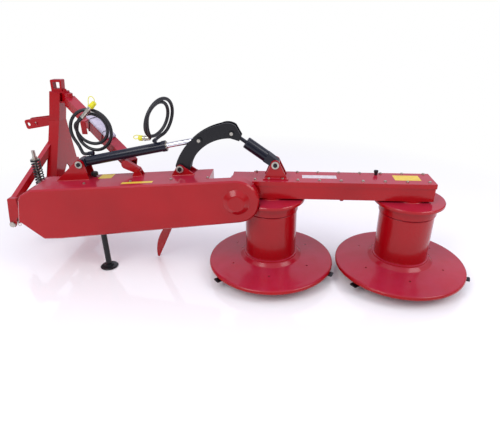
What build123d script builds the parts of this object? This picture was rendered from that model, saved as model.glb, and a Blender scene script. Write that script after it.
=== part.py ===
from build123d import *
from math import atan2, cos, hypot, radians, sin
import os

# A rear mounted drum mower, folded back behind its headstock for transport.
# Layout axes: X along the machine from the belt guard's left end towards the
# outer drum, Y away from the belt guard's face, Z up from the ground.
# All sizes are in millimetres. Each function returns one node.

# Cutter bar and drums
DRUM_X = 1601          # inner drum's axis
DRUM_SPACING = 830     # from drum axis to drum axis
DISC_R = 404           # cutting disc's rim
DISC_RIM_Z = 91        # top of the rim
DISC_SHEET = 5
DRUM_R = 161
DRUM_WALL = 5
DRUM_BASE_Z = 146      # where the drum stands on its disc
DRUM_TOP_Z = 444
CAP_R = 206            # brim of the bearing cap over a drum
CAP_NECK_R = 168
CAP_TOP_Z = 530
CAP_BRIM = 18
CAP_DRUM_GAP = 6
SPINDLE_R = 30
BEARING_GAP = 0.05     # radial running clearance of shafts and pins
SKID_R = 285
SKID_RIM_Z = 40
SKID_SHEET = 6
BLADE_COUNT = 3
BLADE_TIP_R = 424
BLADE_W = 48
BLADE_T = 4
BLADE_L = 105
BLADE_FIRST_DEG = 219

BOX_X0 = 1500
BOX_X1 = 2544
BOX_HALF_W = 88
BOX_WALL = 8
BOX_BOTTOM_Z = 543
LID_TOP_Z = 651
LID_SHEET = 6
LID_LIP = 28
LID_OVER = 4           # lid past the box at its ends

# Arm, belt guard and fold hinge
FOLD_X = 1405
FOLD_Z = 555
ROUND_R = 132          # round end of the arm
GUARD_FACE_Y = -190
GUARD_BACK_Y = -134
GUARD_SHEET = 3
GUARD_CHAMFER = 9
ARM_PLATE = 10         # front plate that carries the fold hinge
PLATE_BACK_Y = GUARD_BACK_Y + ARM_PLATE
ARM_BACK_Y = 46
ARM_WALL = 6
BEAM_END_X = 1240
TRUNNION_R = 50
TRUNNION_HUB_R = 76
HOUSING_R = 84
HOUSING_GAP = 6        # running gap between the arm's plate and the housing
SEAT_RING_R = 70       # ring on the housing that bears on the plate
NOTCH_GAP = 5          # inner bearing cap to the arm's round end
SIDE_GAP = 0.3         # seated faces that turn past each other
DOME_R = 78
DOME_TOP_R = 44
DOME_H = 22
GUARD_LEFT = ((285, 277), (176, 271), (57, 373), (35, 390), (68, 533), (86, 564), (162, 603))

# Lift linkage, in the plane y = 0
CYL_PIN = (427, 722)
ARM_PIVOT = (1052, 704)
ARM_TIP = (1368, 918)
ROD_EYE = (1175, 875)
BAR_PIN = (1623, 738)
PIN_R = 15
PIN_HEAD = 8
EAR_T = 10
EAR_GAP = 72           # between the two ears of each clevis
BARREL_R = 30
BARREL_END = 556       # from the rear pin to the end of the barrel
ROD_R = 16
ROD_EYE_R = 25
PORT_REAR = 84         # oil ports, from the rear pin
PORT_HEAD = 494
PORT_H = 14            # elbow's axis above the barrel
LIFT_OUT_Y = 30        # outer faces of the lift arm's plates
LIFT_PLATE = 12
SPACER = (1262, 905)
STRUT_TUBE_R = 35
STRUT_LUG_R = 26
BAR_CLEVIS_PLATE = 6

# Headstock
TOWER_Y = 530          # mid plane of the headstock
SWING_X = 115          # vertical swing axis
SWING_PIN_R = 20
UPPER_PIN_R = 16
MAST_W = 100
MAST_D = 74
MAST_SHEET = 8
BEND_Z = 866
BEND_X = 22            # middle of the mast at the bend
MAST_TOP_Z = 1064
MAST_TOP_X = 68
FOOT_X = -32           # middle of a leg at its foot
FOOT_SPREAD = 222      # leg's outer face from the mid plane, at the foot
LEG_W = 46             # leg's width across the machine, at the foot
WEB_APEX = 332         # from the bend down to the apex between the legs
HITCH_HALF = 435       # lower link points from the mid plane
HITCH_X = -196
HITCH_Z = 240
HITCH_GAP = 46
HITCH_EAR = 10
HITCH_PIN_R = 14
BRACKET_TOP_Z = 434
CROSS_X = -72
CROSS_W = 78
CROSS_WALL = 6
CROSS_Z = 330
TOP_HOLE_R = 12.85
TOP_HOLES_X = (-182, -121)
TOP_HOLE_Z = 838
TOP_TILT = 8           # degrees by which the top link plates rise rearwards
TOP_PLATE_GAP = 60
TOP_PLATE = 12
FRONT_STAY_W = 44

# Upper stay, lower collar and their joints to the arm
BRACE_LOW = (775, 0, 677)
BRACE_TOP_Z = 1030
BRACE_W = 68
EYE_R = 30
EYE_H = 56
BRACE_EAR = 10
BRACE_TONGUE = 29
COLLAR_R = 46
COLLAR_LOW = 316
COLLAR_HIGH = 436
HOOK_SHARE = 0.385     # hook's place, as a share of the stay's length

# Release spring beside the near leg
SPRING_X = -10
SPRING_Y = 200
SPRING_Z = 492
SPRING_L = 176
SPRING_TURNS = 9
SPRING_ROD_R = 11.5

# Input shaft, stand and divider
INPUT_X = 215
INPUT_Z = 430
SHAFT_R = 17.4
SHANK_R = 22
NOSE_R = 42
STAND_X = 505
STAND_Y = -56
STAND_PIN_Z = 278
STAND_PIN_R = 8
STAND_LEG_R = 18.5
STAND_FOOT_R = 58
STAND_GAP = 6
DIVIDER_LEAN = 12      # degrees from upright
DIVIDER_Y = 95         # at the ground
DIVIDER_T = 8

# Hoses: each is shut in a coil that hangs from its port on the barrel
HOSE_R = 10
COIL_A = (484, 85, 903)
COIL_A_R = 112
COIL_A_TUBE = 28
COIL_B = (940, 0, 992)
COIL_B_NORMAL = (0.900, -0.345, -0.272)
COIL_B_DOWN = (-0.29, 0, -0.957)
COIL_B_START = 11.8    # degrees from straight down, at the head port
COIL_B_SWEEP = 328
COIL_B_R = 122
COIL_B_TUBE = 20
HOSE_A_ROUTE = ((440, 12, 768), (415, 40, 785), (405, 66, 818))
COUPLER_A = ((466, 44.7, 997), (522, 44.7, 1050), (550, 44.7, 1076))
COUPLER_B = ((884, -60, 894), (852, -60, 894), (828, -60, 895))
COUPLER_R = 12


def slab(profile, y_near, y_far):
    """A profile drawn in X and Z, as thick as from y_near to y_far."""
    plane = Plane(origin=(0, y_far, 0), x_dir=(1, 0, 0), z_dir=(0, -1, 0))
    return extrude(plane * profile, y_far - y_near)


def plate_z(profile, z_low, z_high):
    """A profile drawn in X and Y, as thick as from z_low to z_high."""
    return extrude(Plane.XY.offset(z_low) * profile, z_high - z_low)


def polygon(*points):
    return make_face(Polyline(*points, close=True))


def hull(*shapes):
    """The outline that an elastic band round the shapes would take."""
    return make_hull([edge for shape in shapes for edge in shape.edges()])


def rounded(points, radius):
    """A closed outline with every corner rounded alike."""
    face = polygon(*points)
    return fillet(face.vertices(), radius)


def along(start, end, section, up=(0, 0, 1)):
    """Extrude a section from start to end, its own Y kept near up."""
    run = Vector(*end) - Vector(*start)
    plane = Plane(origin=start, x_dir=Vector(*up).cross(run), z_dir=run)
    return extrude(plane * section, run.length)


def pin_y(x, z, radius, y_near, y_far):
    return slab(Pos(x, z) * Circle(radius), y_near, y_far)


def post(x, y, radius, z_low, z_high):
    return plate_z(Pos(x, y) * Circle(radius), z_low, z_high)


def tube(outer, wall):
    """Section of a square tube."""
    return Rectangle(outer, outer) - Rectangle(outer - 2 * wall, outer - 2 * wall)


def spun(points):
    """A closed half section, radius and height, turned about Z."""
    return revolve(Plane.XZ * polygon(*points), Axis.Z)


def spun_sheet(points, corner, thickness):
    """A sheet of one thickness that follows a path of radius and height."""
    path = FilletPolyline(*points, radius=corner)
    return revolve(Plane.XZ * trace(path, thickness), Axis.Z)


def mirror_tower(shape):
    """The same piece on the other side of the headstock's mid plane."""
    return mirror(shape, about=Plane(origin=(0, TOWER_Y, 0), z_dir=(0, 1, 0)))


# The arm's outline, seen square to the belt guard

def tangent_point(point, centre, radius, side):
    """Where a line from point touches the circle, on the side given as 1 or -1."""
    dx, dz = point[0] - centre[0], point[1] - centre[1]
    reach = hypot(dx, dz)
    turn = side * atan2((reach ** 2 - radius ** 2) ** 0.5, radius)
    angle = atan2(dz, dx) + turn
    return (centre[0] + radius * cos(angle), centre[1] + radius * sin(angle))


def arm_outline():
    centre = (FOLD_X, FOLD_Z)
    top = tangent_point(GUARD_LEFT[-1], centre, ROUND_R, -1)
    bottom = tangent_point(GUARD_LEFT[0], centre, ROUND_R, 1)
    left = Polyline(bottom, *GUARD_LEFT, top)
    nose = ThreePointArc(top, (FOLD_X + ROUND_R, FOLD_Z), bottom)
    return make_face(left + nose)


def belt_guard():
    outline = arm_outline()
    cover = slab(outline, GUARD_FACE_Y, GUARD_BACK_Y)
    cover = chamfer(cover.faces().sort_by(Axis.Y)[0].edges(), GUARD_CHAMFER)
    hollow = slab(offset(outline, -GUARD_SHEET), GUARD_FACE_Y + GUARD_SHEET, GUARD_BACK_Y)
    hollow = chamfer(hollow.faces().sort_by(Axis.Y)[0].edges(), GUARD_CHAMFER - 1)
    dome = spun(((0, -GUARD_SHEET), (DOME_R, -GUARD_SHEET), (DOME_R, 0), (DOME_TOP_R + 6, DOME_H - 2),
                 (DOME_TOP_R, DOME_H), (0, DOME_H)))
    plane = Plane(origin=(FOLD_X, GUARD_FACE_Y, FOLD_Z), x_dir=(1, 0, 0), z_dir=(0, -1, 0))
    return cover - hollow + plane * dome


def arm_beam():
    """Box beam with the long plate that carries the fold hinge at its end."""
    outline = arm_outline()
    left_part = Pos(BEAM_END_X - 1000, 400) * Rectangle(2000, 1600)
    beam_profile = outline & left_part
    beam = slab(beam_profile, GUARD_BACK_Y, ARM_BACK_Y)
    hollow = slab(offset(beam_profile, -ARM_WALL), PLATE_BACK_Y, ARM_BACK_Y - ARM_WALL)
    hub = pin_y(FOLD_X, FOLD_Z, TRUNNION_HUB_R, GUARD_FACE_Y + GUARD_SHEET + 2, PLATE_BACK_Y)
    arm = beam - hollow + slab(outline, GUARD_BACK_Y, PLATE_BACK_Y) + hub
    bore = pin_y(FOLD_X, FOLD_Z, TRUNNION_R + BEARING_GAP, GUARD_FACE_Y, ARM_BACK_Y)
    seat = pin_y(INPUT_X, INPUT_Z, NOSE_R + BEARING_GAP, ARM_BACK_Y - ARM_WALL - 1, ARM_BACK_Y)
    return arm - bore - seat


def top_z(x):
    """Height of the arm's top face at a place along it."""
    top = tangent_point(GUARD_LEFT[-1], (FOLD_X, FOLD_Z), ROUND_R, -1)
    left = GUARD_LEFT[-1]
    return left[1] + (x - left[0]) * (top[1] - left[1]) / (top[0] - left[0])


def bottom_z(x):
    """Height of the arm's lower face at a place along it."""
    low = tangent_point(GUARD_LEFT[0], (FOLD_X, FOLD_Z), ROUND_R, 1)
    left = GUARD_LEFT[0]
    return left[1] + (x - left[0]) * (low[1] - left[1]) / (low[0] - left[0])


def clevis(pin, base_left, base_right, floor, ear_radius=27, through=True):
    """Two ears on a sloping or flat top, with the pin, or its two ends, that they hold."""
    outline = hull(Pos(*pin) * Circle(ear_radius),
                   Polyline((base_left, floor(base_left)), (base_right, floor(base_right))))
    half = EAR_GAP / 2
    outer = half + EAR_T
    ears = slab(outline, -outer, -half) + slab(outline, half, outer)
    heads = pin_y(*pin, PIN_R + 6, -outer - PIN_HEAD, -outer) + pin_y(*pin, PIN_R + 6, outer, outer + PIN_HEAD)
    if through:
        heads += pin_y(*pin, PIN_R - BEARING_GAP, -outer, outer)
    return ears + heads


def cylinder_clevis():
    return clevis(CYL_PIN, CYL_PIN[0] - 168, CYL_PIN[0] + 46, top_z)


def lift_clevis():
    return clevis(ARM_PIVOT, ARM_PIVOT[0] - 55, ARM_PIVOT[0] + 88, top_z, 24)


def brace_clevis():
    x, y, z = BRACE_LOW
    ear = hull(Pos(x, z) * Circle(16), Polyline((x - 32, top_z(x - 32)), (x + 32, top_z(x + 32))))
    inner = BRACE_TONGUE / 2 + SIDE_GAP
    outer = inner + BRACE_EAR
    ears = slab(ear, y - outer, y - inner) + slab(ear, y + inner, y + outer)
    return ears + pin_y(x, z, 9 - BEARING_GAP, y - outer - 4, y + outer + 4)


def stay_point(distance):
    """A point on the upper stay's middle line, so far from the swing axis."""
    start = Vector(SWING_X, TOWER_Y, BRACE_TOP_Z)
    return start + (Vector(*BRACE_LOW) - start).normalized() * distance


def upper_brace():
    """Square stay from the swing axis down to the arm, with its eyes and the hose hook."""
    x, y, z = BRACE_LOW
    length = (Vector(*BRACE_LOW) - Vector(SWING_X, TOWER_Y, BRACE_TOP_Z)).length
    near_end, far_end = 62, length - 62
    stay = along(stay_point(near_end), stay_point(far_end), tube(BRACE_W, 6))
    neck = stay_point(near_end + 16)
    eye = plate_z(
        hull(Pos(SWING_X, TOWER_Y) * Circle(EYE_R), Pos(neck.X, neck.Y) * Circle(EYE_R - 8)),
        BRACE_TOP_Z - EYE_H / 2, BRACE_TOP_Z + EYE_H / 2)
    root = stay_point(far_end - 34)
    tongue = slab(
        hull(Pos(x, z) * Circle(20), Pos(root.X, root.Z) * Circle(27)),
        y - BRACE_TONGUE / 2, y + BRACE_TONGUE / 2)
    hook = stay_point(length * HOOK_SHARE)
    half = BRACE_W / 2
    strap = Pos(hook.X, hook.Y - half - 34, hook.Z + half - 4) * Box(34, 90, 6)
    strap += Pos(hook.X, hook.Y - half - 78, hook.Z + half - 44) * Box(34, 6, 84)
    body = stay + eye + tongue + strap
    body -= pin_y(x, z, 9, y - 40, y + 40)
    return body - post(SWING_X, TOWER_Y, UPPER_PIN_R + BEARING_GAP, BRACE_TOP_Z - 90, BRACE_TOP_Z + 60)


def swing_beam():
    """Lower swing collar and the box that joins it to the back of the arm."""
    z_mid = (COLLAR_LOW + COLLAR_HIGH) / 2
    height = COLLAR_HIGH - COLLAR_LOW - 4
    plan = hull(
        Pos(SWING_X, TOWER_Y) * Circle(COLLAR_R - 4),
        Polyline((SWING_X + 215, ARM_BACK_Y), (SWING_X + 445, ARM_BACK_Y)))
    box = plate_z(plan, z_mid - height / 2, z_mid + height / 2)
    inner = plate_z(offset(plan, -8), z_mid - height / 2 + 8, z_mid + height / 2 - 8)
    collar = post(SWING_X, TOWER_Y, COLLAR_R, COLLAR_LOW, COLLAR_HIGH)
    bore = post(SWING_X, TOWER_Y, SWING_PIN_R + BEARING_GAP, COLLAR_LOW, COLLAR_HIGH)
    return box - inner + collar - bore


def input_bearing():
    flange = pin_y(INPUT_X, INPUT_Z, NOSE_R + 30, ARM_BACK_Y, ARM_BACK_Y + 12)
    nose = pin_y(INPUT_X, INPUT_Z, NOSE_R, ARM_BACK_Y - ARM_WALL - 20, ARM_BACK_Y + 34)
    bore = pin_y(INPUT_X, INPUT_Z, SHANK_R + BEARING_GAP, ARM_BACK_Y - 80, ARM_BACK_Y + 80)
    return flange + nose - bore


def input_shaft():
    """Six spline stub for the tractor's drive shaft, 35 mm over the splines."""
    shank = pin_y(INPUT_X, INPUT_Z, SHANK_R, ARM_BACK_Y - 20, ARM_BACK_Y + 40)
    stub = pin_y(INPUT_X, INPUT_Z, SHAFT_R, ARM_BACK_Y + 40, ARM_BACK_Y + 122)
    groove = pin_y(INPUT_X, INPUT_Z, SHAFT_R - 1.5, ARM_BACK_Y + 92, ARM_BACK_Y + 100)
    stub -= pin_y(INPUT_X, INPUT_Z, SHAFT_R + 12, ARM_BACK_Y + 92, ARM_BACK_Y + 100)
    stub += groove
    for angle in range(0, 360, 60):
        cut = Pos(INPUT_X, INPUT_Z) * Rot(0, 0, angle) * Pos(SHAFT_R, 0) * Rectangle(5, 8.7)
        stub -= slab(cut, ARM_BACK_Y + 46, ARM_BACK_Y + 124)
    return shank + stub


def stand_ears():
    ear = hull(
        Pos(STAND_X, STAND_PIN_Z) * Circle(16),
        Polyline((STAND_X - 34, bottom_z(STAND_X - 34)), (STAND_X + 34, bottom_z(STAND_X + 34))))
    inner = STAND_LEG_R + STAND_GAP
    outer = inner + 6
    ears = slab(ear, STAND_Y - outer, STAND_Y - inner) + slab(ear, STAND_Y + inner, STAND_Y + outer)
    return ears + pin_y(STAND_X, STAND_PIN_Z, STAND_PIN_R - BEARING_GAP, STAND_Y - outer - 6, STAND_Y + outer + 6)


def stand_leg():
    """Stand that folds up under the arm: eye, round leg and dished foot."""
    half = STAND_LEG_R + STAND_GAP - SIDE_GAP
    eye = pin_y(STAND_X, STAND_PIN_Z, 15, STAND_Y - half, STAND_Y + half)
    leg = post(STAND_X, STAND_Y, STAND_LEG_R, 10, STAND_PIN_Z - 2)
    foot = spun(((0, 0), (STAND_FOOT_R - 4, 0), (STAND_FOOT_R, 5), (STAND_FOOT_R - 6, 10),
                 (32, 13), (28, 26), (0, 26)))
    stand = leg + eye + Pos(STAND_X, STAND_Y, 0) * foot
    return stand - pin_y(STAND_X, STAND_PIN_Z, STAND_PIN_R, STAND_Y - 40, STAND_Y + 40)


def divider():
    """Pointed plate under the arm that parts the standing grass."""
    lean = radians(DIVIDER_LEAN)
    plane = Plane(origin=(0, DIVIDER_Y, 0), x_dir=(1, 0, 0), z_dir=(0, -cos(lean), -sin(lean)))
    outline = make_face(
        Polyline((872, 245), (936, 400), (1006, 400), (816, 8), (802, 8))
        + ThreePointArc((802, 8), (814, 112), (872, 245)))
    under_arm = polygon((700, -50), (1100, -50), (1100, bottom_z(1100)), (700, bottom_z(700)))
    return extrude(plane * outline, DIVIDER_T) & slab(under_arm, -300, 300)


# Fold hinge and cutter bar

def bar_housing():
    """Round gear housing on the fold axis, with its trunnion and neck."""
    near = PLATE_BACK_Y + HOUSING_GAP
    lid_low = LID_TOP_Z - LID_SHEET
    far = BOX_HALF_W + 4
    body = pin_y(FOLD_X, FOLD_Z, HOUSING_R, near, far)
    ring = pin_y(FOLD_X, FOLD_Z, SEAT_RING_R, PLATE_BACK_Y + SIDE_GAP, near)
    trunnion = pin_y(FOLD_X, FOLD_Z, TRUNNION_R, GUARD_FACE_Y + GUARD_SHEET + 4, near)
    neck = slab(polygon((FOLD_X, BOX_BOTTOM_Z), (BOX_X0, BOX_BOTTOM_Z), (BOX_X0, lid_low), (FOLD_X, lid_low)),
                -BOX_HALF_W, BOX_HALF_W)
    top = slab(polygon((FOLD_X - 43, lid_low - 14), (BOX_X0, lid_low - 14), (BOX_X0, lid_low),
                       (FOLD_X - 43, lid_low)), near, far)
    return body + ring + trunnion + neck + top - post(DRUM_X, 0, CAP_R + 2, 0, BOX_BOTTOM_Z)


def bar_box():
    """Fabricated gear case that carries both drums."""
    length = BOX_X1 - BOX_X0
    height = LID_TOP_Z - LID_SHEET - BOX_BOTTOM_Z
    middle = Pos((BOX_X0 + BOX_X1) / 2, 0, BOX_BOTTOM_Z + height / 2)
    shell = middle * Box(length, 2 * BOX_HALF_W, height)
    shell -= middle * Pos(0, 0, BOX_WALL) * Box(length - 2 * BOX_WALL, 2 * BOX_HALF_W - 2 * BOX_WALL, height)
    for x in (DRUM_X, DRUM_X + DRUM_SPACING):
        shell -= post(x, 0, SPINDLE_R + 12, BOX_BOTTOM_Z - 1, BOX_BOTTOM_Z + BOX_WALL + 1)
    plug = post(2021, -BOX_HALF_W + 22, 11, BOX_BOTTOM_Z - 12, BOX_BOTTOM_Z)
    return shell + plug


def bar_lid():
    x0, x1 = BOX_X0 - 11, BOX_X1 + LID_OVER
    half = BOX_HALF_W + 5
    sheet = Pos((x0 + x1) / 2, 0, LID_TOP_Z - LID_SHEET / 2) * Box(x1 - x0, 2 * half, LID_SHEET)
    lip_z = LID_TOP_Z - LID_LIP / 2
    lips = Pos((BOX_X0 + x1) / 2, half - 2.5, lip_z) * Box(x1 - BOX_X0, 5, LID_LIP)
    lips += Pos((BOX_X0 + x1) / 2, -half + 2.5, lip_z) * Box(x1 - BOX_X0, 5, LID_LIP)
    lips += Pos(x1 - LID_OVER / 2, 0, lip_z) * Box(LID_OVER, 2 * half, LID_LIP)
    return sheet + lips


def bar_clevis():
    """Ears on a base plate; their pin shows only its ends, and the strut's lug stays free."""
    floor = LID_TOP_Z + BAR_CLEVIS_PLATE
    ears = clevis(BAR_PIN, BAR_PIN[0] - 63, BAR_PIN[0] + 70, lambda x: floor, through=False)
    return ears + Pos(BAR_PIN[0] + 4, 0, floor - BAR_CLEVIS_PLATE / 2) * Box(150, 130, BAR_CLEVIS_PLATE)


def breather():
    body = post(2230, 58, 9, LID_TOP_Z, LID_TOP_Z + 16)
    return body + post(2230, 58, 13, LID_TOP_Z + 16, LID_TOP_Z + 28)


def drum_cap(x):
    """Bearing cap under the gear case: brim, neck and the fixed spindle tube."""
    low = DRUM_TOP_Z + CAP_DRUM_GAP
    brim_low = CAP_TOP_Z - CAP_BRIM
    cap = spun(((SPINDLE_R + BEARING_GAP, BOX_BOTTOM_Z), (90, BOX_BOTTOM_Z), (90, CAP_TOP_Z),
                (CAP_R - 4, CAP_TOP_Z), (CAP_R, CAP_TOP_Z - 5), (CAP_R, brim_low), (CAP_R - 6, brim_low),
                (CAP_NECK_R, brim_low - 8), (CAP_NECK_R, low), (CAP_NECK_R - 7, low),
                (CAP_NECK_R - 7, brim_low), (70, brim_low), (70, low - 40),
                (SPINDLE_R + BEARING_GAP, low - 40)))
    notch = pin_y(FOLD_X, FOLD_Z, ROUND_R + NOTCH_GAP, GUARD_FACE_Y - CAP_R, PLATE_BACK_Y + NOTCH_GAP)
    return Pos(x, 0, 0) * cap - notch


def drum(x):
    """Drum tube, cutting disc and spindle, turned about the drum's axis."""
    tube_part = spun_sheet(((DRUM_R - 16, DRUM_TOP_Z - 3), (DRUM_R - DRUM_WALL / 2, DRUM_TOP_Z - 3),
                            (DRUM_R - DRUM_WALL / 2, DRUM_BASE_Z + 10)), 4, DRUM_WALL)
    disc = spun_sheet(((60, DRUM_BASE_Z - 6), (DRUM_R + 12, DRUM_BASE_Z - 6), (DRUM_R + 36, DRUM_BASE_Z - 28),
                       (DISC_R - 40, DISC_RIM_Z + 1), (DISC_R - 4, DISC_RIM_Z - 3), (DISC_R - 3, DISC_RIM_Z - 20)),
                      12, DISC_SHEET)
    collar = spun(((DRUM_R - 12, DRUM_BASE_Z - 4), (DRUM_R + 12, DRUM_BASE_Z - 4), (DRUM_R + 10, DRUM_BASE_Z + 3),
                   (DRUM_R + 1, DRUM_BASE_Z + 5), (DRUM_R, DRUM_BASE_Z + 14), (DRUM_R - 12, DRUM_BASE_Z + 14)))
    spindle = post(0, 0, SPINDLE_R, 66, BOX_BOTTOM_Z + BOX_WALL + 20)
    hub = post(0, 0, 64, DRUM_BASE_Z - 14, DRUM_BASE_Z + 30)
    turned = tube_part + disc + collar + spindle + hub
    for angle in range(30, 390, 60):
        hole = Pos(268 * cos(radians(angle)), 268 * sin(radians(angle)), 110)
        turned -= hole * Cylinder(6, 60)
    return Pos(x, 0, 0) * turned


def blades(x):
    """Three free blades, each on a bolt under its disc."""
    blade_z = DISC_RIM_Z - 34
    pivot_r = BLADE_TIP_R - BLADE_L + 16
    flat = Pos(pivot_r - 16 + BLADE_L / 2, 0) * Rectangle(BLADE_L, BLADE_W)
    one = plate_z(fillet(flat.vertices(), 8), blade_z, blade_z + BLADE_T)
    one += post(pivot_r, 0, 10, blade_z - 8, DISC_RIM_Z + 1)
    turned = [Rot(0, 0, BLADE_FIRST_DEG + 120 * step) * one for step in range(BLADE_COUNT)]
    return Pos(x, 0, 0) * Compound([solid for blade in turned for solid in blade.solids()])


def skid(x):
    """Dished plate under a drum that turns freely and carries it on the ground."""
    dish = spun_sheet(((0, SKID_SHEET / 2), (150, SKID_SHEET / 2), (230, 15), (SKID_R, SKID_RIM_Z)),
                      60, SKID_SHEET)
    hub = post(0, 0, 55, SKID_SHEET / 2, 66 - SIDE_GAP)
    return Pos(x, 0, 0) * (dish + hub)


# Lift linkage

def link_frame(start, end):
    """A plane at start, in y = 0, whose X runs to end and whose Y is up."""
    run = (end[0] - start[0], end[1] - start[1])
    return Plane(origin=(start[0], 0, start[1]), x_dir=(run[0], 0, run[1]), z_dir=(0, -1, 0))


def span(start, end):
    return hypot(end[0] - start[0], end[1] - start[1])


def turned_along(frame, points):
    """A closed half section, distance and radius, turned about the frame's X axis."""
    axis = Axis(frame.origin, frame.x_dir)
    return revolve(frame * polygon(*points), axis)


def port_elbow(frame, distance, outwards):
    """Elbow on an oil port, and the place where its hose starts."""
    up = frame.y_dir
    base = frame.origin + frame.x_dir * distance
    axis = base + up * (BARREL_R + PORT_H)
    stub = along(base + up * (BARREL_R - 3), axis, Circle(COUPLER_R - 2), up=(0, 1, 0))
    outlet = along(axis - outwards * COUPLER_R, axis + outwards * 24, Circle(COUPLER_R))
    return stub + outlet, axis + outwards * 24


def cylinder_barrel():
    frame = link_frame(CYL_PIN, ROD_EYE)
    collar = BARREL_R + 3
    body = turned_along(frame, ((30, 0), (30, BARREL_R - 3), (33, BARREL_R), (BARREL_END - 26, BARREL_R),
                                (BARREL_END - 26, collar), (BARREL_END - 3, collar),
                                (BARREL_END, BARREL_R), (BARREL_END, 0)))
    half = EAR_GAP / 2 - SIDE_GAP
    eye = hull(Circle(27), Pos(34, 0) * Rectangle(6, 46))
    body += extrude(frame.offset(-half) * eye, 2 * half)
    body += port_elbow(frame, PORT_REAR, -frame.x_dir)[0]
    body += port_elbow(frame, PORT_HEAD, Vector(0, 1, 0))[0]
    bore = turned_along(frame, ((60, 0), (60, ROD_R + 8), (BARREL_END - 40, ROD_R + 8),
                                (BARREL_END - 40, ROD_R + BEARING_GAP), (BARREL_END + 5, ROD_R + BEARING_GAP),
                                (BARREL_END + 5, 0)))
    return body - bore - pin_y(*CYL_PIN, PIN_R, -EAR_GAP, EAR_GAP)


def piston_rod():
    """Rod with its piston; the eye turns free between the lift arm's plates."""
    frame = link_frame(CYL_PIN, ROD_EYE)
    reach = span(CYL_PIN, ROD_EYE)
    rod = turned_along(frame, ((BARREL_END - 90, 0), (BARREL_END - 90, ROD_R + 7.7), (BARREL_END - 70, ROD_R + 7.7),
                               (BARREL_END - 70, ROD_R), (reach - 18, ROD_R), (reach - 18, 0)))
    half = LIFT_OUT_Y - LIFT_PLATE - SIDE_GAP
    return rod + pin_y(*ROD_EYE, ROD_EYE_R, -half, half)


def lift_arm():
    """Pair of curved plates from the pivot up and over to the strut."""
    side = make_face(
        ThreePointArc((1023, 720), (1122, 872), (1306, 969))
        + ThreePointArc((1306, 969), (1350, 977), (1392, 962))
        + Polyline((1392, 962), (1425, 902), (1412, 873), (1360, 889))
        + ThreePointArc((1360, 889), (1233, 857), (1118, 728))
        + Polyline((1118, 728), (1113, 706))
        + ThreePointArc((1113, 706), (1058, 675), (1023, 720)))
    outer, inner = LIFT_OUT_Y, LIFT_OUT_Y - LIFT_PLATE
    arm = slab(side, -outer, -inner) + slab(side, inner, outer)
    arm += pin_y(*ARM_PIVOT, 25, -EAR_GAP / 2 + SIDE_GAP, EAR_GAP / 2 - SIDE_GAP)
    arm += pin_y(*SPACER, 14, -outer + 2, outer - 2)
    arm += pin_y(*ARM_TIP, PIN_R - BEARING_GAP, -outer - PIN_HEAD, outer + PIN_HEAD)
    for side_y in (-outer - PIN_HEAD, inner):
        arm += pin_y(*ROD_EYE, PIN_R + 4, side_y, side_y + LIFT_PLATE + PIN_HEAD)
    return arm - pin_y(*ARM_PIVOT, PIN_R, -EAR_GAP, EAR_GAP)


def strut():
    """Strut between the arm's tip and the cutter bar, with a free lower lug."""
    frame = link_frame(ARM_TIP, BAR_PIN)
    reach = span(ARM_TIP, BAR_PIN)
    body = turned_along(frame, ((20, 0), (20, 17), (46, 17), (50, 11), (100, 11), (100, STRUT_TUBE_R - 3),
                                (104, STRUT_TUBE_R), (reach - 66, STRUT_TUBE_R), (reach - 60, STRUT_TUBE_R - 5),
                                (reach - 60, 0)))
    half_top = LIFT_OUT_Y - LIFT_PLATE - SIDE_GAP
    half_low = EAR_GAP / 2 - SIDE_GAP
    top_eye = pin_y(*ARM_TIP, 24, -half_top, half_top)
    lug = extrude(frame.offset(-half_low) * hull(
        Pos(reach, 0) * Circle(STRUT_LUG_R),
        Pos(reach - 66, 0) * Rectangle(8, 56)), 2 * half_low)
    return body + top_eye + lug - pin_y(*ARM_TIP, PIN_R, -EAR_GAP, EAR_GAP)


# Headstock

def tower_lean():
    """Plane of the tower's rear face: X across the machine, Y up the tower."""
    return Plane(origin=(BEND_X + MAST_D / 2, TOWER_Y, BEND_Z), x_dir=(0, 1, 0),
                 z_dir=Vector(BEND_Z - CROSS_Z - CROSS_W / 2, 0, FOOT_X - BEND_X))


def tower_block(inset=0):
    """The tower's outer form, filled, or the hollow between its flanges."""
    drop = BEND_Z - CROSS_Z
    half_top = MAST_W / 2 - inset
    half_foot = FOOT_SPREAD - inset
    outline = polygon((-half_top, 0), (-half_top, 20), (half_top, 20), (half_top, 0),
                      (half_foot, -drop), (-half_foot, -drop))
    block = extrude(tower_lean().offset(-MAST_SHEET if inset else 0) * outline, -MAST_D)
    floor_z = CROSS_Z + CROSS_W / 2
    return block & Pos(0, TOWER_Y, (floor_z + BEND_Z) / 2) * Box(600, 1000, BEND_Z - floor_z)


def tower():
    """Folded plate tower: rear web between two legs, flanges towards the tractor."""
    drop = BEND_Z - CROSS_Z
    half = FOOT_SPREAD - LEG_W
    notch = polygon((0, -WEB_APEX), (half, -drop), (-half, -drop))
    web_cut = extrude(tower_lean().offset(1) * notch, -MAST_SHEET - 2)
    return tower_block() - tower_block(MAST_SHEET) - web_cut


def mast_box(inset=0):
    low = Vector(BEND_X, TOWER_Y, BEND_Z)
    high = Vector(MAST_TOP_X, TOWER_Y, MAST_TOP_Z)
    start = low - (high - low) * 0.1
    box = along(start, high, Rectangle(MAST_W - 2 * inset, MAST_D - 2 * inset), up=(1, 0, 0))
    return box - Pos(BEND_X, TOWER_Y, BEND_Z - 100) * Box(400, 400, 200)


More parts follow.
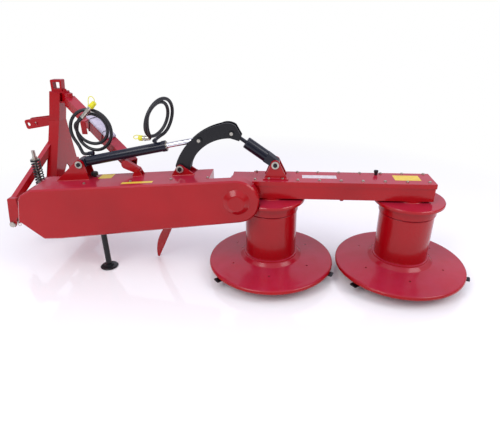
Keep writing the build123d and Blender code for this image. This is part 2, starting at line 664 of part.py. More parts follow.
def mast():
    """Leaning box on top of the tower, with the lifting loop and the upper lugs."""
    top = Vector(MAST_TOP_X, TOWER_Y, MAST_TOP_Z)
    down = (Vector(BEND_X, TOWER_Y, BEND_Z) - top).normalized()
    cap = along(top + down * 10, top, Rectangle(MAST_W, MAST_D), up=(1, 0, 0))
    loop = rounded(((-34, -10), (-30, 82), (52, 82), (40, -10)), 8)
    loop -= rounded(((-16, 22), (-14, 66), (35, 66), (31, 22)), 4)
    loop = slab(Pos(MAST_TOP_X, MAST_TOP_Z) * loop, TOWER_Y - 24, TOWER_Y + 24)
    lug = hull(Pos(SWING_X, TOWER_Y) * Circle(34), Pos(MAST_TOP_X - 2, TOWER_Y) * Rectangle(30, MAST_W - 16))
    eye_low = BRACE_TOP_Z - EYE_H / 2 - SIDE_GAP
    eye_high = BRACE_TOP_Z + EYE_H / 2 + SIDE_GAP
    lugs = plate_z(lug, eye_low - 10, eye_low) + plate_z(lug, eye_high, eye_high + 10)
    clear = post(SWING_X, TOWER_Y, EYE_R + 8, eye_low, eye_high)
    pin = post(SWING_X, TOWER_Y, UPPER_PIN_R, eye_low - 18, eye_high + 22)
    return (mast_box() - mast_box(MAST_SHEET) + cap + loop - clear) + lugs + pin


def top_link_plate(side, carriers):
    """One of the two top link plates, with its holes, let in between the tower's flanges."""
    turn = Pos(TOP_HOLES_X[0], TOP_HOLE_Z) * Rot(0, 0, TOP_TILT)
    outline = turn * rounded(((-24, -34), (-24, 34), (236, 30), (236, -26)), 14)
    for hole_x in TOP_HOLES_X:
        outline -= turn * Pos(hole_x - TOP_HOLES_X[0], 0) * Circle(TOP_HOLE_R)
    near = TOWER_Y + side * TOP_PLATE_GAP / 2
    plate = slab(outline, min(near, near + side * TOP_PLATE), max(near, near + side * TOP_PLATE))
    for carrier in carriers:
        plate -= carrier
    return plate.solids().sort_by(Axis.X)[0]


def cross_tube():
    inner_ear = TOWER_Y - HITCH_HALF + HITCH_GAP / 2 + HITCH_EAR
    length = 2 * (TOWER_Y - inner_ear)
    hollow = CROSS_W - 2 * CROSS_WALL
    beam = Pos(CROSS_X, TOWER_Y, CROSS_Z) * (Box(CROSS_W, length, CROSS_W) - Box(hollow, length, hollow))
    rear = CROSS_X + CROSS_W / 2
    fork = hull(Pos(SWING_X, TOWER_Y) * Circle(COLLAR_R - 2), Pos(rear + 4, TOWER_Y) * Rectangle(8, 150))
    low = COLLAR_LOW - SIDE_GAP
    high = COLLAR_HIGH + SIDE_GAP
    back = Pos(rear + 5, TOWER_Y, (low + high) / 2) * Box(10, 150, high - low + 24)
    forks = plate_z(fork, low - 12, low) + plate_z(fork, high, high + 12)
    pin = post(SWING_X, TOWER_Y, SWING_PIN_R, low - 24, high + 26)
    return beam + back + forks + pin


def hitch_bracket():
    """Near lower link bracket: two ears, closed at its top and back, on the tube's end."""
    y_mid = TOWER_Y - HITCH_HALF
    inner = HITCH_GAP / 2
    outer = inner + HITCH_EAR
    rear = CROSS_X + CROSS_W / 2
    low, high = CROSS_Z - CROSS_W / 2, CROSS_Z + CROSS_W / 2
    back_x = HITCH_X + 68
    ear = polygon((HITCH_X + 14, BRACKET_TOP_Z), (back_x - 6, BRACKET_TOP_Z), (back_x, BRACKET_TOP_Z - 6),
                  (back_x, high), (rear, high), (rear, low), (HITCH_X + 38, low), (HITCH_X + 20, HITCH_Z - 12),
                  (HITCH_X + 10, HITCH_Z - 22), (HITCH_X - 8, HITCH_Z - 22), (HITCH_X - 22, HITCH_Z - 4),
                  (HITCH_X - 14, HITCH_Z + 60), (HITCH_X + 6, BRACKET_TOP_Z - 8))
    ears = slab(ear, y_mid - outer, y_mid - inner) + slab(ear, y_mid + inner, y_mid + outer)
    top = Pos(back_x - 29, y_mid, BRACKET_TOP_Z - 4) * Box(50, HITCH_GAP, 8)
    back = Pos(back_x - 4, y_mid, (low + BRACKET_TOP_Z) / 2) * Box(8, HITCH_GAP, BRACKET_TOP_Z - low)
    rail = Pos(CROSS_X, y_mid, CROSS_Z) * Box(CROSS_W, HITCH_GAP, CROSS_W)
    return ears + top + back + rail - pin_y(HITCH_X, HITCH_Z, HITCH_PIN_R, y_mid - 60, y_mid + 60)


def hitch_pin():
    """Lower link pin across the near bracket, with its head and its plain end."""
    y_mid = TOWER_Y - HITCH_HALF
    outer = HITCH_GAP / 2 + HITCH_EAR
    pin = pin_y(HITCH_X, HITCH_Z, HITCH_PIN_R - BEARING_GAP, y_mid - outer, y_mid + outer + 18)
    return pin + pin_y(HITCH_X, HITCH_Z, HITCH_PIN_R + 6, y_mid - outer - 12, y_mid - outer)


def front_brace():
    """Square stay from the near leg down to the lower link bracket."""
    y_mid = TOWER_Y - HITCH_HALF
    stay = along((-20, 462, 706), (-165, y_mid - 4, 402), tube(FRONT_STAY_W, 4))
    floor_cut = Pos(-165, y_mid, BRACKET_TOP_Z - 50) * Box(200, 200, 100)
    stay = stay - floor_cut - tower_block()
    return stay.solids().sort_by(Axis.Z)[0]


def release_spring():
    """Coil spring on its rod; each turn is a ring on the sleeve under it."""
    pitch = SPRING_L / SPRING_TURNS
    profile = [(SPRING_ROD_R + 0.5, 0), (24, 0)]
    for step in range(SPRING_TURNS):
        base = step * pitch
        profile += [(30, base + 2), (33, base + pitch * 0.35), (30, base + pitch * 0.7), (24, base + pitch * 0.72)]
        if step < SPRING_TURNS - 1:
            profile += [(24, base + pitch)]
    profile += [(24, SPRING_L), (SPRING_ROD_R + 0.5, SPRING_L)]
    return Pos(SPRING_X, SPRING_Y, SPRING_Z) * spun(profile)


def spring_rod():
    """Threaded rod with its washer and nuts, on a bracket from the near leg."""
    top = SPRING_Z + SPRING_L
    nut = Pos(SPRING_X, SPRING_Y) * RegularPolygon(17, 6)
    rod = post(SPRING_X, SPRING_Y, SPRING_ROD_R, SPRING_Z - 40, top + 62)
    rod += post(SPRING_X, SPRING_Y, 26, top + SIDE_GAP, top + 5)
    rod += plate_z(nut, top + 5, top + 20)
    return rod + plate_z(nut, SPRING_Z - 26, SPRING_Z - 9)


def spring_bracket():
    plan = hull(Pos(SPRING_X, SPRING_Y) * Circle(30), Polyline((SPRING_X - 42, 370), (SPRING_X + 22, 370)))
    top = SPRING_Z - SIDE_GAP
    plate = plate_z(plan, top - 8, top) - post(SPRING_X, SPRING_Y, SPRING_ROD_R + BEARING_GAP, 0, top + 1)
    return plate - tower_block()


# Hoses: what they are shut in, and where they lie

def hose_coil_a():
    return Pos(*COIL_A) * Rot(90, 0, 0) * Torus(COIL_A_R, COIL_A_TUBE)


def hose_coil_b():
    """Open ring across the barrel, from the head port round to the coupler's side."""
    plane = Plane(origin=COIL_B, x_dir=COIL_B_DOWN, z_dir=COIL_B_NORMAL)
    return plane * Rot(0, 0, COIL_B_START) * Torus(COIL_B_R, COIL_B_TUBE, major_angle=COIL_B_SWEEP)


def hose_lead_a():
    """Stretch of hose from the rear port to the coil, ending on its skin."""
    frame = link_frame(CYL_PIN, ROD_EYE)
    start = port_elbow(frame, PORT_REAR, -frame.x_dir)[1]
    far = Vector(*HOSE_A_ROUTE[-1]) - Vector(*HOSE_A_ROUTE[-2])
    path = Spline(start, *HOSE_A_ROUTE, tangents=(-frame.x_dir, far))
    return sweep(Plane(origin=start, z_dir=-frame.x_dir) * Circle(HOSE_R), path=path) - hose_coil_a()


def coupler(places, coil):
    """Hose coupler with its dust cap, against the coil that it ends."""
    start, middle, end = (Vector(*place) for place in places)
    body = along(start, middle, Circle(COUPLER_R), up=(0, 1, 0))
    body += along(middle, end, Circle(COUPLER_R + 2), up=(0, 1, 0))
    return body - coil


NODES = {
    "belt_guard": belt_guard(),
    "arm_beam": arm_beam(),
    "cylinder_clevis": cylinder_clevis(),
    "lift_clevis": lift_clevis(),
    "brace_clevis": brace_clevis(),
    "upper_brace": upper_brace(),
    "swing_beam": swing_beam(),
    "input_bearing": input_bearing(),
    "input_shaft": input_shaft(),
    "stand_ears": stand_ears(),
    "stand_leg": stand_leg(),
    "divider": divider(),
    "bar_housing": bar_housing(),
    "bar_box": bar_box(),
    "bar_lid": bar_lid(),
    "bar_clevis": bar_clevis(),
    "breather": breather(),
    "cylinder_barrel": cylinder_barrel(),
    "piston_rod": piston_rod(),
    "lift_arm": lift_arm(),
    "strut": strut(),
    "tower": tower(),
    "mast": mast(),
    "top_link_plate_near": top_link_plate(-1, (mast_box(), tower())),
    "top_link_plate_far": top_link_plate(1, (mast_box(), tower())),
    "cross_tube": cross_tube(),
    "hitch_bracket_near": hitch_bracket(),
    "hitch_bracket_far": mirror_tower(hitch_bracket()),
    "hitch_pin_near": hitch_pin(),
    "hitch_pin_far": mirror_tower(hitch_pin()),
    "front_brace_near": front_brace(),
    "front_brace_far": mirror_tower(front_brace()),
    "release_spring": release_spring(),
    "spring_rod": spring_rod(),
    "spring_bracket": spring_bracket(),
    "hose_coil_a": hose_coil_a(),
    "hose_coil_b": hose_coil_b(),
    "hose_lead_a": hose_lead_a(),
    "hose_coupler_a": coupler(COUPLER_A, hose_coil_a()),
    "hose_coupler_b": coupler(COUPLER_B, hose_coil_b()),
}
for name, x in (("inner", DRUM_X), ("outer", DRUM_X + DRUM_SPACING)):
    NODES["drum_cap_" + name] = drum_cap(x)
    NODES["drum_" + name] = drum(x)
    NODES["blades_" + name] = blades(x)
    NODES["skid_" + name] = skid(x)

# The origin goes to the middle of the machine's plan, on the ground
machine = [solid for name, shape in NODES.items() if not name.startswith("hose_") for solid in shape.solids()]
box = Compound(machine).bounding_box()
ORIGIN = Pos(-(box.min.X + box.max.X) / 2, -(box.min.Y + box.max.Y) / 2, 0)

os.makedirs("parts", exist_ok=True)
for name, shape in NODES.items():
    export_step(ORIGIN * shape, f"parts/{name}.step")
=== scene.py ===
import math

import bmesh
import bpy
from mathutils import Matrix, Vector


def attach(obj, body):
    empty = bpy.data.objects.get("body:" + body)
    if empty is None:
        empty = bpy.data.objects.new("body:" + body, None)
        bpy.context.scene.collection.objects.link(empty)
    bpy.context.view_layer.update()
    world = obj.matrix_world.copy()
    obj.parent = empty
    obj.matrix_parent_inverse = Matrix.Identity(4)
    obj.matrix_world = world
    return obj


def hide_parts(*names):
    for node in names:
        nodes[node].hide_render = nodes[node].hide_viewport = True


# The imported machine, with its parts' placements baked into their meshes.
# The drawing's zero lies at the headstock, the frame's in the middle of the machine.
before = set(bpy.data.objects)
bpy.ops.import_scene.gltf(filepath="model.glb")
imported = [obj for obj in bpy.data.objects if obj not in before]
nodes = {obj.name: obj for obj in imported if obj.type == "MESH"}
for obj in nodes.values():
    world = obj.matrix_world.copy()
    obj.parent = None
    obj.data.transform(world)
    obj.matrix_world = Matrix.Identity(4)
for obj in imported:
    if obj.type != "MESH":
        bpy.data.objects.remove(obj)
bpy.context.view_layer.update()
ROW_X = -1.30825
ROW_Y = -0.303252


def place(x, y, z):
    """A point of the machine's drawing, in millimetres, as a point of the scene."""
    return Vector((x / 1000 + ROW_X, y / 1000 + ROW_Y, z / 1000))


# Camera at the photographer's eye height, square to the belt guard and looking down on the drums
LENS = 29.32
EYE = (0.35945, -2.630752, 1.51)
YAW, PITCH, ROLL = -0.0860, 0.4493, -0.0120
ahead = Vector((math.sin(YAW) * math.cos(PITCH), math.cos(YAW) * math.cos(PITCH), -math.sin(PITCH)))
level = Vector((math.cos(YAW), -math.sin(YAW), 0))
right = level * math.cos(ROLL) + level.cross(ahead) * math.sin(ROLL)
lens = bpy.data.cameras.new("camera")
lens.sensor_width = 36
lens.lens = LENS
camera = bpy.data.objects.new("camera", lens)
camera.rotation_euler = Matrix((right, right.cross(ahead), -ahead)).transposed().to_euler()
camera.location = EYE
bpy.context.scene.collection.objects.link(camera)
bpy.context.scene.camera = camera
bpy.context.scene.view_settings.view_transform = "Standard"


# Sealed white studio floor: nearly mirror smooth, so the discs and the stand show faintly in it.
# Beyond the machine it gives way to plain white for the camera, so that no horizon shows.
def linear(hexed):
    """A colour written as sRGB hex, as the shader wants it."""
    parts = [int(hexed[i:i + 2], 16) / 255 for i in (0, 2, 4)]
    return [p / 12.92 if p <= 0.04045 else ((p + 0.055) / 1.055) ** 2.4 for p in parts] + [1]


def add_node(tree, kind, inputs=None, **settings):
    """One shader node with its settings, its values and its links."""
    made = tree.nodes.new(kind)
    for name, value in settings.items():
        setattr(made, name, value)
    for name, value in (inputs or {}).items():
        if isinstance(value, bpy.types.NodeSocket):
            tree.links.new(value, made.inputs[name])
        else:
            made.inputs[name].default_value = value
    return made


def finish_of(name, **values):
    """A new material, its node tree and its shader with the values that stay alike all over."""
    material = bpy.data.materials.new(name)
    material.use_nodes = True
    tree = material.node_tree
    shader = tree.nodes["Principled BSDF"]
    for socket, value in values.items():
        shader.inputs[socket.replace("_", " ")].default_value = value
    return material, tree, shader


def piece(name, mesh, material, body=None, smooth=None):
    """A bmesh made an object at the origin, riding on a body of the machine."""
    data = bpy.data.meshes.new(name)
    mesh.to_mesh(data)
    mesh.free()
    if smooth:
        data.polygons.foreach_set("use_smooth", [True] * len(data.polygons))
        data.set_sharp_from_angle(angle=math.radians(smooth))
    data.materials.append(material)
    made = bpy.data.objects.new(name, data)
    bpy.context.scene.collection.objects.link(made)
    if body:
        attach(made, body)
    return made


FLOOR_SIZE = 60
FLOOR_DROP = 0.0008
FADE_FROM, FADE_TO = 1.5, 3.2
floor_finish, tree, shader = finish_of("sealed_white_floor", Roughness=0.06, Specular_IOR_Level=0.6)
shader.inputs["Base Color"].default_value = linear("FAFAFA")
away = add_node(tree, "ShaderNodeVectorMath", {0: add_node(tree, "ShaderNodeTexCoord").outputs["Object"]},
                operation="LENGTH").outputs["Value"]
far = add_node(tree, "ShaderNodeMapRange", {
    "Value": away, "From Min": FADE_FROM, "From Max": FADE_TO}).outputs["Result"]
seen = add_node(tree, "ShaderNodeMath", {
    0: far, 1: add_node(tree, "ShaderNodeLightPath").outputs["Is Camera Ray"]},
    operation="MULTIPLY").outputs[0]
paper = add_node(tree, "ShaderNodeEmission", {"Color": linear("FFFFFF"), "Strength": 1.0}).outputs[0]
mixed = add_node(tree, "ShaderNodeMixShader", {0: seen, 1: shader.outputs[0], 2: paper}).outputs[0]
tree.links.new(mixed, tree.nodes["Material Output"].inputs["Surface"])
mesh = bmesh.new()
bmesh.ops.create_grid(mesh, x_segments=1, y_segments=1, size=FLOOR_SIZE)
bmesh.ops.translate(mesh, verts=mesh.verts, vec=(0, 0, -FLOOR_DROP))
piece("floor", mesh, floor_finish)

# Studio air, bright overhead and dimmer round the walls, so that enamel darkens on upright faces;
# the camera itself sees plain white
WALL_LIGHT, CEILING_LIGHT = 0.30, 1.0
world = bpy.data.worlds.new("studio")
bpy.context.scene.world = world
world.use_nodes = True
tree = world.node_tree
tree.nodes.clear()
height = add_node(tree, "ShaderNodeSeparateXYZ", {
    "Vector": add_node(tree, "ShaderNodeTexCoord").outputs["Generated"]}).outputs["Z"]
overhead = add_node(tree, "ShaderNodeMapRange", {
    "Value": height, "From Min": 0.10, "From Max": 0.42,
    "To Min": WALL_LIGHT, "To Max": CEILING_LIGHT}).outputs["Result"]
air = add_node(tree, "ShaderNodeBackground", {"Color": linear("F3F1FF"), "Strength": overhead})
backdrop = add_node(tree, "ShaderNodeBackground", {"Color": linear("FFFFFF"), "Strength": 1.0})
path = add_node(tree, "ShaderNodeLightPath")
add_node(tree, "ShaderNodeOutputWorld", {"Surface": add_node(tree, "ShaderNodeMixShader", {
    0: path.outputs["Is Camera Ray"], 1: air.outputs[0], 2: backdrop.outputs[0]}).outputs[0]})

# Two large soft lamps over the near side: name, place, width of the disc in metres, watts
LAMPS = (
    ("key_lamp", (-2.2, -3.6, 4.2), 3.0, 110),
    ("side_lamp", (3.6, -1.8, 3.4), 2.4, 55))
LIT_SPOT = Vector((0, 0, 0.4))
for name, spot, width, watts in LAMPS:
    lamp = bpy.data.lights.new(name, "AREA")
    lamp.shape = "DISK"
    lamp.size = width
    lamp.energy = watts
    holder = bpy.data.objects.new(name, lamp)
    holder.location = spot
    holder.rotation_euler = (LIT_SPOT - Vector(spot)).to_track_quat("-Z", "Y").to_euler()
    bpy.context.scene.collection.objects.link(holder)


# Gloss enamel on welded steel sheet. It is sprayed, so it has fine orange peel that softens
# reflections, and slow waves from the sheet under it. Faces that look up carry a painted sky reflection: a
# paler, pinkish tint laid on in patches.
def coordinates(tree):
    """Coordinates that stay with a piece when it moves."""
    return add_node(tree, "ShaderNodeTexCoord").outputs["Object"]


def noise(tree, millimetres, detail=2.0):
    """Noise whose grains are about so many millimetres across."""
    return add_node(tree, "ShaderNodeTexNoise", {
        "Vector": coordinates(tree), "Scale": 1000 / millimetres, "Detail": detail}).outputs["Fac"]


def ramp(tree, factor, low, high, first, last):
    """The colour first below low and last above high."""
    made = add_node(tree, "ShaderNodeValToRGB", {"Fac": factor})
    start, end = made.color_ramp.elements
    start.position, end.position = low, high
    start.color, end.color = first, last
    return made.outputs["Color"]


def spread(tree, factor, low, high):
    """A factor of 0 to 1 carried over to low to high."""
    return add_node(tree, "ShaderNodeMapRange", {
        "Value": factor, "To Min": low, "To Max": high}).outputs["Result"]


def bump(tree, height, strength, millimetres, under=None):
    """Relief of so many millimetres, laid over another relief if there is one."""
    inputs = {"Height": height, "Strength": strength, "Distance": millimetres / 1000}
    if under:
        inputs["Normal"] = under
    return add_node(tree, "ShaderNodeBump", inputs).outputs["Normal"]


def blend(tree, factor, first, second):
    """A mix of two colours."""
    return add_node(tree, "ShaderNodeMix", {0: factor, 6: first, 7: second}, data_type="RGBA").outputs[2]


def upwards(tree, low, high):
    """1 on faces that look up, 0 on the rest."""
    normal = add_node(tree, "ShaderNodeNewGeometry").outputs["Normal"]
    z = add_node(tree, "ShaderNodeSeparateXYZ", {"Vector": normal}).outputs["Z"]
    return add_node(tree, "ShaderNodeMapRange", {
        "Value": z, "From Min": low, "From Max": high}).outputs["Result"]


def enamel(name, tone, shade, painted_reflection, roughness, peel):
    """Sprayed paint: tone and shade drift across a panel, and a painted sky reflection lightens what faces up.
    """
    material, tree, shader = finish_of(name, Coat_Weight=0.15, Coat_Roughness=0.04, IOR=1.36)
    drift = ramp(tree, noise(tree, 420, 3), 0.35, 0.68, linear(tone), linear(shade))
    patches = spread(tree, noise(tree, 70, 6), 0.10, 0.30)
    # Painted reflection: upward faces are tinted towards the paler colour in patches, standing in for the
    # bright sky seen in the gloss
    painted_reflection_mask = add_node(tree, "ShaderNodeMath", {
        0: upwards(tree, 0.5, 0.98), 1: patches}, operation="MULTIPLY").outputs[0]
    tree.links.new(blend(tree, painted_reflection_mask, drift, linear(painted_reflection)), shader.inputs["Base Color"])
    smears = spread(tree, noise(tree, 55, 5), roughness - 0.05, roughness + 0.09)
    tree.links.new(smears, shader.inputs["Roughness"])
    waves = bump(tree, noise(tree, 160, 1), 0.22, 2.0)
    tree.links.new(bump(tree, noise(tree, 5, 2), peel, 0.25, waves), shader.inputs["Normal"])
    return material


def dress(names, material):
    """One finish on each of the named nodes."""
    for name in names.split():
        slots = nodes[name].material_slots
        if slots:
            slots[0].material = material
        else:
            nodes[name].data.materials.append(material)


RED_NODES = (
    "belt_guard arm_beam cylinder_clevis lift_clevis brace_clevis upper_brace swing_beam stand_ears divider "
    "bar_housing bar_box bar_lid bar_clevis drum_cap_inner drum_cap_outer drum_inner drum_outer "
    "tower mast top_link_plate_near top_link_plate_far cross_tube hitch_bracket_near hitch_bracket_far "
    "front_brace_near front_brace_far spring_bracket")
BLACK_NODES = "stand_leg lift_arm skid_inner skid_outer input_bearing"
NAVY_NODES = "cylinder_barrel strut"
# Each enamel's third colour is the painted sky reflection on its upward faces, not dust
red_enamel = enamel(
    "red_gloss_enamel", tone="A8040F", shade="98030C", painted_reflection="B84A74", roughness=0.19, peel=0.10)
black_enamel = enamel(
    "black_satin_enamel", tone="0C0D10", shade="131418", painted_reflection="2A2C32", roughness=0.33, peel=0.20)
navy_enamel = enamel(
    "navy_gloss_enamel", tone="090D1A", shade="0E1326", painted_reflection="242A3E", roughness=0.22, peel=0.10)
dress(RED_NODES, red_enamel)
dress(BLACK_NODES, black_enamel)
dress(NAVY_NODES, navy_enamel)


# Bright steel: zinc plating clouds its own reflections, the hard chrome rod is the one clean mirror,
# and the blades are blackened in oil, so they are dark but still metal
def steel(name, tone, shade, roughness, grain, depth):
    """Bare or plated metal with a fine grain and cloudy plating."""
    material, tree, shader = finish_of(name, Metallic=1.0)
    clouds = ramp(tree, noise(tree, 30, 4), 0.3, 0.7, linear(tone), linear(shade))
    tree.links.new(clouds, shader.inputs["Base Color"])
    handled = spread(tree, noise(tree, 12, 4), roughness - 0.04, roughness + 0.10)
    tree.links.new(handled, shader.inputs["Roughness"])
    tree.links.new(bump(tree, noise(tree, grain, 3), 0.25, depth), shader.inputs["Normal"])
    return material


zinc = steel("zinc_plated_steel", tone="C9C6BC", shade="A8A496", roughness=0.28, grain=3, depth=0.08)
chrome = steel("hard_chrome_rod", tone="E4E6EA", shade="D6D8DE", roughness=0.09, grain=2, depth=0.01)
blackened = steel(
    "oil_blackened_steel", tone="3A3A3D", shade="2A2A2D", roughness=0.38, grain=4, depth=0.15)
dress("hitch_pin_near hitch_pin_far spring_rod input_shaft", zinc)
dress("piston_rod", chrome)
dress("blades_inner blades_outer", blackened)

# Moulded black plastic of the breather, the knob and the ties: a fine spark eroded grain makes it dull
plastic, tree, shader = finish_of("moulded_black_plastic", Roughness=0.42, IOR=1.46)
shader.inputs["Base Color"].default_value = linear("141416")
tree.links.new(bump(tree, noise(tree, 1.2, 2), 0.3, 0.06), shader.inputs["Normal"])
dress("breather", plastic)


# Two hydraulic hoses of braided rubber, each laid up in two turns when the machine is parked.
# A hose is one smooth curve from its port to the crimp of its coupler.
def rubber(name, tone):
    """Hose cover with a woven wrap print, drawn coarser than the real 1 mm so that it shows."""
    material, tree, shader = finish_of(name, Roughness=0.46, IOR=1.52)
    shader.inputs["Base Color"].default_value = linear(tone)
    weave = add_node(tree, "ShaderNodeTexVoronoi", {"Vector": coordinates(tree), "Scale": 1000 / 3.5})
    tree.links.new(bump(tree, weave.outputs["Distance"], 0.5, 0.4), shader.inputs["Normal"])
    return material


def bent_rod(name, runs, radius, material, body, kind="NURBS", **settings):
    """Round stuff of one thickness, bent along each run of points and riding on a body."""
    data = bpy.data.curves.new(name, "CURVE")
    data.dimensions = "3D"
    data.bevel_depth = radius
    for setting, value in settings.items():
        setattr(data, setting, value)
    for run in runs:
        line = data.splines.new(kind)
        line.points.add(len(run) - 1)
        for control, point in zip(line.points, run):
            control.co = (*point, 1)
        if kind == "NURBS":
            line.order_u = 3
            line.use_endpoint_u = True
    data.materials.append(material)
    made = bpy.data.objects.new(name, data)
    bpy.context.scene.collection.objects.link(made)
    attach(made, body)
    return made


def smooth_step(value, low, high):
    """0 below low, 1 above high, and an even passage between."""
    t = min(1, max(0, (value - low) / (high - low)))
    return t * t * (3 - 2 * t)


HOSE_D = 0.02
hose_rubber = rubber("wrapped_hose_rubber", "121317")


def hose(name, points, nodes_replaced):
    """One hose on the cylinder, in place of the rings that stand for it among the solids."""
    made = bent_rod(name, [points], HOSE_D / 2, hose_rubber, "cylinder",
                    bevel_resolution=5, resolution_u=10, use_fill_caps=True)
    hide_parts(*nodes_replaced)


# Quick couplers, crimped on the far ends of the hoses, with dust caps of moulded yellow plastic
# that let a little light in and so look soft
def rod_between(mesh, start, end, radius, end_radius=None, sides=24):
    """A closed bar from start to end in a bmesh, tapered if it has an end radius."""
    run = end - start
    turn = run.to_track_quat("Z", "Y").to_matrix().to_4x4()
    bmesh.ops.create_cone(
        mesh, cap_ends=True, segments=sides,
        radius1=radius, radius2=radius if end_radius is None else end_radius,
        depth=run.length, matrix=Matrix.Translation((start + end) / 2) @ turn)


yellow, tree, shader = finish_of("moulded_yellow_cap", Roughness=0.38, Subsurface_Weight=0.05)
shader.inputs["Base Color"].default_value = linear("E3DC2B")
tree.links.new(bump(tree, noise(tree, 2, 2), 0.2, 0.05), shader.inputs["Normal"])

CRIMP_SHARE, NUT_SHARE = 0.45, 0.72
CRIMP_OVERLAP = 0.012
CRIMP_R, CRIMP_RIB_R, NUT_R, SLEEVE_R = 0.0125, 0.0134, 0.0155, 0.013
CAP_R, CAP_TIP_R, CAP_RIB_R, CAP_CHAMFER = 0.0152, 0.0125, 0.0162, 0.003
STRAP_R = 0.0022


def coupler(name, start, middle, end, node, loop):
    """Crimp, hexagon and sleeve of the coupler, then the cap and its strap."""
    run = (middle - start).normalized()
    long = (middle - start).length
    mesh = bmesh.new()
    rod_between(mesh, start - run * CRIMP_OVERLAP, start + run * long * CRIMP_SHARE, CRIMP_R)
    for step in range(4):
        rib = start + run * (0.001 + step * 0.005)
        rod_between(mesh, rib, start + run * (0.003 + step * 0.005), CRIMP_RIB_R)
    rod_between(mesh, start + run * long * CRIMP_SHARE, start + run * long * NUT_SHARE, NUT_R, sides=6)
    rod_between(mesh, start + run * long * NUT_SHARE, middle, SLEEVE_R)
    body = piece(name + "_steel", mesh, zinc, "cylinder", smooth=35)
    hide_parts(node)
    cap_run = (end - middle).normalized()
    mesh = bmesh.new()
    rod_between(mesh, middle, end - cap_run * CAP_CHAMFER, CAP_R)
    rod_between(mesh, end - cap_run * CAP_CHAMFER, end, CAP_R, CAP_TIP_R)
    for step in range(3):
        at = middle + cap_run * (0.004 + step * 0.006)
        rod_between(mesh, at, at + cap_run * 0.002, CAP_RIB_R)
    cap = piece(name + "_cap", mesh, yellow, "cylinder", smooth=35)
    strap = bent_rod(name + "_strap", [loop], STRAP_R, yellow, "cylinder")
    return [body, cap, strap]


# Hose A, from the rear port: twelve points to each turn, 30 degrees apart.
# The second turn lies inside the first and further back.
A_X, A_Z = 484, 903
A_TURNS = 2
A_START, STEP_ANGLE = 225, 30
A_POINTS = A_TURNS * 360 // STEP_ANGLE
A_OUTER_R, A_STEP_IN, A_CLOSE_IN = 131.5, 31.5, 8
A_END_R = 92


def turn_a(angle, radius, y):
    """A point of hose A's coil, at an angle about its middle."""
    return place(A_X + radius * math.cos(math.radians(angle)), y, A_Z + radius * math.sin(math.radians(angle)))


coupler_a = coupler(
    "coupler_a", place(466, 44.7, 997), place(522, 44.7, 1050), place(550, 44.7, 1076), "hose_coupler_a",
    (place(546, 44.7, 1072), place(556, 44.7, 1092), place(538, 42, 1116),
     place(516, 42, 1104), place(510, 44.7, 1060), place(500, 44.7, 1040)))
route_a = [place(477.0, 0, 777.1), place(440, 12, 768), place(415, 40, 785)]
for step in range(A_POINTS):
    share = step / A_POINTS
    shrink = smooth_step(share, 0.40, 0.60)
    radius = A_OUTER_R - A_STEP_IN * shrink - A_CLOSE_IN * smooth_step(share, 0.7, 0.98)
    y = 68 + 16 * share + 18 * shrink - 8 * smooth_step(share, 0.85, 1)
    route_a.append(turn_a(A_START - STEP_ANGLE * step, radius, y))
route_a += [turn_a(226, A_END_R, 88), turn_a(200, A_END_R, 80), place(391, 62, 925),
            place(408, 50, 952), place(436, 44.7, 969), place(459, 44.7, 990)]
hose("hose_a", route_a, nodes_replaced=("hose_coil_a", "hose_lead_a"))

# Hose B, from the head port: its coil stands across the arm and leans, so it has axes of its own
B_MIDDLE = Vector((940, 0, 992))
B_DOWN = Vector((0.29, 0, 0.957))
B_ACROSS = Vector((0.330, 0.939, -0.100))
B_NORMAL = Vector((0.900, -0.345, -0.272))
B_POINTS = 20
B_START = 45
B_OUTER_R, B_STEP_IN = 128, 26


def turn_b(angle, radius, off):
    """A point of hose B's coil, at an angle about its middle and so far off its plane."""
    at = B_MIDDLE + B_NORMAL * off + radius * (
        B_ACROSS * math.sin(math.radians(angle)) - B_DOWN * math.cos(math.radians(angle)))
    return place(*at)


coupler_b = coupler(
    "coupler_b", place(884, -60, 894), place(852, -60, 894), place(828, -60, 895), "hose_coupler_b",
    (place(832, -60, 895), place(810, -60, 886), place(794, -58, 896),
     place(808, -56, 912), place(846, -60, 908), place(862, -60, 905)))
route_b = [place(902.2, 24, 864.1), place(904, 50, 868)]
for step in range(B_POINTS):
    share = step / (B_POINTS - 1)
    shrink = smooth_step(share, 0.40, 0.60)
    route_b.append(turn_b(
        B_START + STEP_ANGLE * step, B_OUTER_R - B_STEP_IN * shrink, 8 - 4 * shrink - 16 * share))
route_b += [place(901, -104, 975), place(900, -92, 935), place(901, -70, 905),
            place(893, -60, 894), place(876, -60, 894)]
hose("hose_b", route_b, nodes_replaced=("hose_coil_b",))


# Hexagon bolts: the lid's two rows, the strut's clevis, the guard, the bar's end and the input bearing.
# They are zinc plated, pressed forgings, so each head has a chamfered crown on a plain washer.
def hex_bolt(mesh, seat, away, across):
    """One bolt head on its washer, standing on seat and pointing away."""
    washer_top, head_top, crown_top = (seat + away * across * share for share in (0.12, 0.48, 0.54))
    rod_between(mesh, seat, washer_top, across * 0.62, sides=20)
    rod_between(mesh, washer_top, head_top, across * 0.56, sides=6)
    rod_between(mesh, head_top, crown_top, across * 0.50, across * 0.44, sides=12)


def bolts(name, body, seats, away, across):
    """One piece of all the bolts that share a body and a direction."""
    mesh = bmesh.new()
    for seat in seats:
        hex_bolt(mesh, seat, Vector(away), across)
    piece(name, mesh, zinc, body, smooth=25)


LID_Z = 651
PLATE_Z = 657
GUARD_FOOT_X, GUARD_FOOT_Z = 162, 603
GUARD_SLOPE = 0.0678
# Heads across their flats
LID_BOLT, PLATE_BOLT, BEARING_BOLT = 0.015, 0.013, 0.012
UP, OUTWARDS, REARWARDS = (0, 0, 1), (1, 0, 0), (0, 1, 0)


def guard_top(x, y):
    """A point on the arm's sloping top."""
    return place(x, y, GUARD_FOOT_Z + (x - GUARD_FOOT_X) * GUARD_SLOPE)


